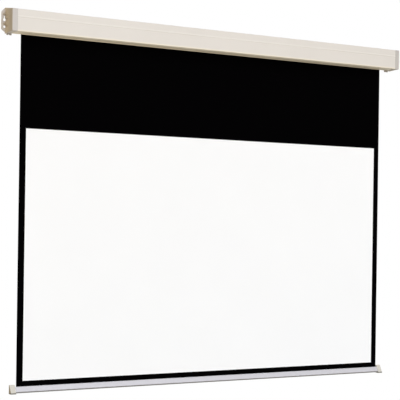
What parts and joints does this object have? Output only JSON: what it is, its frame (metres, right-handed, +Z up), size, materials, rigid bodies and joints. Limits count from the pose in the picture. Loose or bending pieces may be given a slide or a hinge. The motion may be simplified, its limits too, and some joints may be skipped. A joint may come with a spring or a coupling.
{
  "type": "pull down projector screen",
  "caption": "Wall-hung projector screen: a bordered white cloth pulls down out of a slotted casing from a spring roller with a ratchet lock, and a weighted bar keeps it flat.",
  "frame": {"origin": "on the wall plane, at the middle of the casing's back face", "axes": "+X along the casing, towards the spring end; -Y away from the wall, towards the viewer; +Z up"},
  "size_m": [1.9856, 0.0743, 1.514],
  "materials": {
    "casing_paint": "smooth warm white powder coat on folded steel",
    "cap_plastic": "fine moulded texture, warm light grey",
    "bar_aluminium": "matt pale coat on an extruded bar",
    "black_cloth": "matt black coated cloth",
    "white_coat": "matt white viewing surface",
    "zinc_steel": "bright zinc plate",
    "dark_steel": "oiled dark steel",
    "nylon": "natural nylon"
  },
  "bodies": {
    "casing": {"casing_shell": "casing_paint", "left_end_cap": "cap_plastic", "right_end_cap": "cap_plastic", "left_carrier": "zinc_steel", "right_carrier": "zinc_steel", "left_carrier_screw_upper": "zinc_steel", "left_carrier_screw_lower": "zinc_steel", "right_carrier_screw_upper": "zinc_steel", "right_carrier_screw_lower": "zinc_steel", "left_cap_screw": "zinc_steel", "right_cap_screw": "zinc_steel", "screen_cloth": "black_cloth", "viewing_face": "white_coat", "idle_bush": "nylon", "spring_rod": "zinc_steel", "ratchet_cam": "dark_steel", "spring_collar": "dark_steel", "torsion_spring": "dark_steel"},
    "roller": {"roller_tube": "zinc_steel", "cloth_wraps": "black_cloth", "idle_plug": "nylon", "idle_pin": "zinc_steel", "inner_plug": "nylon", "pawl_housing": "nylon", "housing_cover": "zinc_steel", "rear_pawl_pin": "zinc_steel", "front_pawl_pin": "zinc_steel"},
    "pawl_rear": {"rear_pawl": "dark_steel"},
    "pawl_front": {"front_pawl": "dark_steel"},
    "bar": {"bottom_bar": "bar_aluminium", "cloth_hem": "black_cloth", "hem_rod": "zinc_steel", "left_bar_cap": "cap_plastic", "right_bar_cap": "cap_plastic"}
  },
  "joints": [
    {"name": "screen_pull", "type": "slide", "parent": "casing", "child": "bar", "axis": [0, 0, 1], "range_m": [0, 1.379], "deforming": ["screen_cloth", "viewing_face"]},
    {"name": "roller_spin", "type": "hinge", "parent": "casing", "child": "roller", "pos_m": [0, -0.03076, 0], "axis": [1, 0, 0], "range_deg": [0, 3600]},
    {"name": "rear_pawl_swing", "type": "hinge", "parent": "roller", "child": "pawl_rear", "pos_m": [0.9333, -0.01816, 0], "axis": [1, 0, 0], "range_deg": [0, 12.6]},
    {"name": "front_pawl_swing", "type": "hinge", "parent": "roller", "child": "pawl_front", "pos_m": [0.9333, -0.04336, 0], "axis": [1, 0, 0], "range_deg": [0, 12.6]}
  ],
  "couplings": [
    {"joint": "roller_spin", "follows": "screen_pull", "rad_per_m": 45.563}
  ]
}
